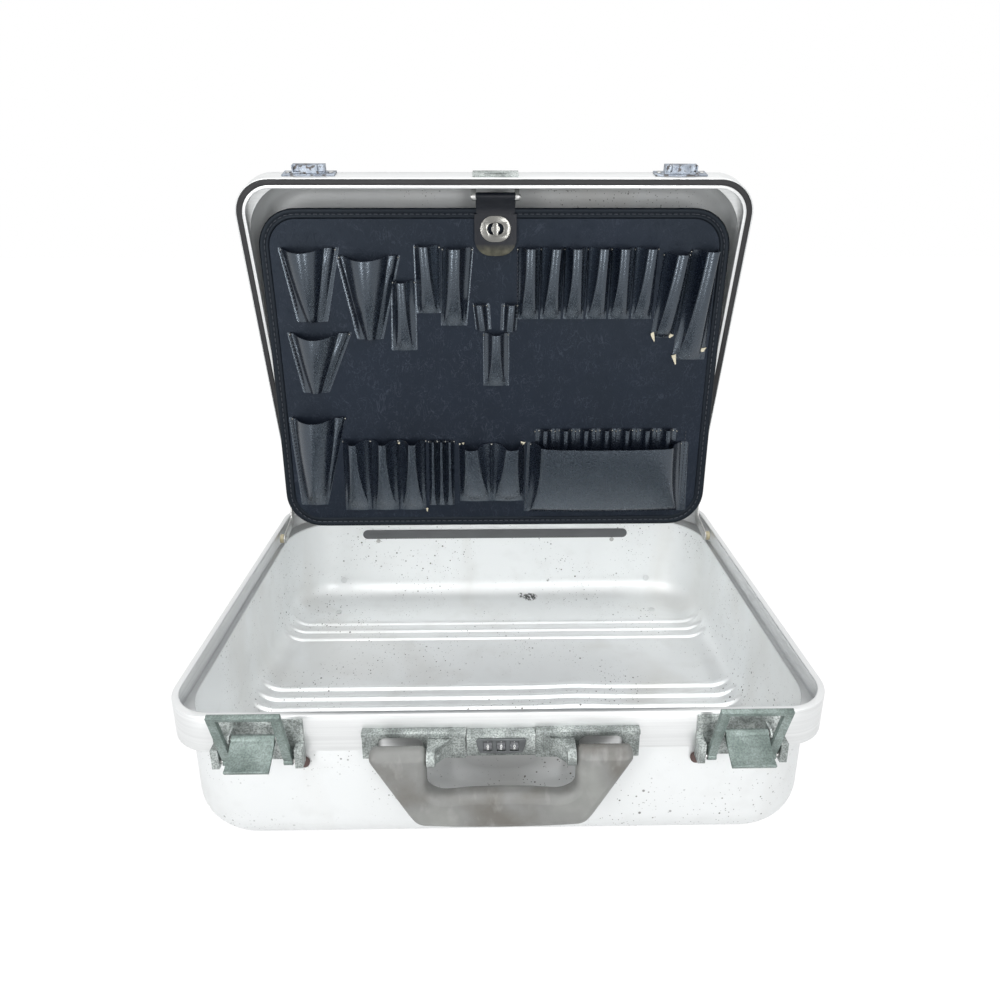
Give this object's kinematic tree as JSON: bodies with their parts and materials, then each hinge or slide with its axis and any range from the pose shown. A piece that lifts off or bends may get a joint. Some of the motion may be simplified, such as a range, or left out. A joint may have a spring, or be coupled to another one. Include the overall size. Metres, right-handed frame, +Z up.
{
  "type": "hard tool case",
  "caption": "Aluminium tool case standing open, with rim frames, draw latches, combination lock, folding handle, lid stays and a hanging tool pallet of sewn pockets.",
  "frame": {"origin": "middle of the base between its front and back rims, on the surface that the feet stand on", "axes": "+X to the right when facing the handle, +Y from the handle to the hinge, +Z up"},
  "size_m": [0.457, 0.4267, 0.4751],
  "materials": {
    "shell_aluminium": "satin drawn sheet, dull and lightly spotted",
    "frame_aluminium": "satin extrusion",
    "cast_zinc": "cast zinc, granular, with a pale green cast",
    "bright_steel": "nickel plated steel",
    "black_rubber": "matt black",
    "black_vinyl": "embossed vinyl, semi-gloss",
    "black_plastic": "matt",
    "grey_plastic": "warm grey moulding",
    "nylon": "aged nylon"
  },
  "bodies": {
    "case_base": {"base_shell": "shell_aluminium", "base_frame": "frame_aluminium", "feet": "black_rubber", "foot_rivets": "bright_steel", "hinge_base_leaf": "shell_aluminium", "hinge_pin": "bright_steel", "hinge_backing_strip": "black_plastic", "base_hinge_rivets": "bright_steel", "latch_base_left": "cast_zinc", "latch_base_right": "cast_zinc", "latch_pins": "bright_steel", "latch_plugs": "black_plastic", "handle_bracket_left": "cast_zinc", "handle_bracket_right": "cast_zinc", "handle_pins": "bright_steel", "lock_body": "cast_zinc", "lock_bezel": "black_plastic", "dial_axle": "bright_steel"},
    "lid": {"lid_shell": "shell_aluminium", "lid_frame": "frame_aluminium", "lid_gasket": "black_rubber", "hinge_lid_leaf": "shell_aluminium", "lid_hinge_rivets": "bright_steel", "keeper_left": "cast_zinc", "keeper_right": "cast_zinc", "keeper_rivets": "bright_steel", "lid_strike": "cast_zinc", "flap_bracket": "bright_steel", "flap_pin": "bright_steel", "stay_mounts": "frame_aluminium", "stay_pivots": "bright_steel"},
    "pallet": {"pallet_board": "black_vinyl", "pallet_binding": "black_vinyl", "hanging_strap": "black_vinyl", "grommet": "bright_steel", "turn_stud": "bright_steel", "cone_pockets": "black_vinyl", "small_pockets": "black_vinyl", "tool_tubes": "black_vinyl", "lower_pockets": "black_vinyl", "box_pocket": "black_vinyl"},
    "button": {"turn_button": "bright_steel"},
    "handle_grip": {"handle": "grey_plastic"},
    "bolt": {"lock_bolt": "bright_steel"},
    "dial_left": {"dial_1": "black_plastic"},
    "dial_middle": {"dial_2": "black_plastic"},
    "dial_right": {"dial_3": "black_plastic"},
    "bail_left": {"latch_bail_left": "cast_zinc"},
    "lever_left": {"latch_lever_left": "cast_zinc"},
    "arm_left": {"stay_arm_left": "bright_steel", "roller_pin_left": "bright_steel"},
    "roller_left": {"stay_roller_left": "nylon"},
    "bail_right": {"latch_bail_right": "cast_zinc"},
    "lever_right": {"latch_lever_right": "cast_zinc"},
    "arm_right": {"stay_arm_right": "bright_steel", "roller_pin_right": "bright_steel"},
    "roller_right": {"stay_roller_right": "nylon"}
  },
  "joints": [
    {"name": "lid_hinge", "type": "hinge", "parent": "case_base", "child": "lid", "pos_m": [0, 0.182, 0.118], "axis": [-1, 0, 0], "range_deg": [-73, 0]},
    {"name": "pallet_swing", "type": "hinge", "parent": "lid", "child": "pallet", "pos_m": [0, 0.09172, 0.4475], "axis": [-1, 0, 0], "range_deg": [-14, 60]},
    {"name": "turn_button", "type": "hinge", "parent": "pallet", "child": "button", "pos_m": [0, 0.10047, 0.42002], "axis": [0, 0.9986, 0.0523], "range_deg": [0, 90]},
    {"name": "handle_swing", "type": "hinge", "parent": "case_base", "child": "handle_grip", "pos_m": [0, -0.193, 0.097], "axis": [-1, 0, 0], "range_deg": [0, 95]},
    {"name": "lock_bolt", "type": "slide", "parent": "case_base", "child": "bolt", "axis": [1, 0, 0], "range_m": [0, 0.003]},
    {"name": "dial_1", "type": "hinge", "parent": "case_base", "child": "dial_left", "pos_m": [-0.0088, -0.1824, 0.0985], "axis": [1, 0, 0], "continuous": true},
    {"name": "dial_2", "type": "hinge", "parent": "case_base", "child": "dial_middle", "pos_m": [0, -0.1824, 0.0985], "axis": [1, 0, 0], "continuous": true},
    {"name": "dial_3", "type": "hinge", "parent": "case_base", "child": "dial_right", "pos_m": [0.0088, -0.1824, 0.0985], "axis": [1, 0, 0], "continuous": true},
    {"name": "latch_lever_left", "type": "hinge", "parent": "case_base", "child": "lever_left", "pos_m": [-0.1615, -0.187, 0.108], "axis": [-1, 0, 0], "range_deg": [-62, 28]},
    {"name": "latch_bail_left", "type": "hinge", "parent": "case_base", "child": "bail_left", "pos_m": [-0.1615, -0.183, 0.087], "axis": [1, 0, 0], "range_deg": [-20, 60]},
    {"name": "stay_arm_left", "type": "hinge", "parent": "lid", "child": "arm_left", "pos_m": [-0.2178, 0.16468, 0.20682], "axis": [1, 0, 0], "range_deg": [-124, 0]},
    {"name": "stay_roller_left", "type": "hinge", "parent": "arm_left", "child": "roller_left", "pos_m": [-0.2207, 0.107, 0.111], "axis": [1, 0, 0], "continuous": true},
    {"name": "latch_lever_right", "type": "hinge", "parent": "case_base", "child": "lever_right", "pos_m": [0.1615, -0.187, 0.108], "axis": [-1, 0, 0], "range_deg": [-62, 28]},
    {"name": "latch_bail_right", "type": "hinge", "parent": "case_base", "child": "bail_right", "pos_m": [0.1615, -0.183, 0.087], "axis": [1, 0, 0], "range_deg": [-20, 60]},
    {"name": "stay_arm_right", "type": "hinge", "parent": "lid", "child": "arm_right", "pos_m": [0.2178, 0.16468, 0.20682], "axis": [1, 0, 0], "range_deg": [-124, 0]},
    {"name": "stay_roller_right", "type": "hinge", "parent": "arm_right", "child": "roller_right", "pos_m": [0.2207, 0.107, 0.111], "axis": [1, 0, 0], "continuous": true}
  ],
  "couplings": [
    {"joint": "stay_arm_left", "follows": "lid_hinge", "ratio": 1.6921},
    {"joint": "stay_arm_right", "follows": "lid_hinge", "ratio": 1.6921}
  ]
}
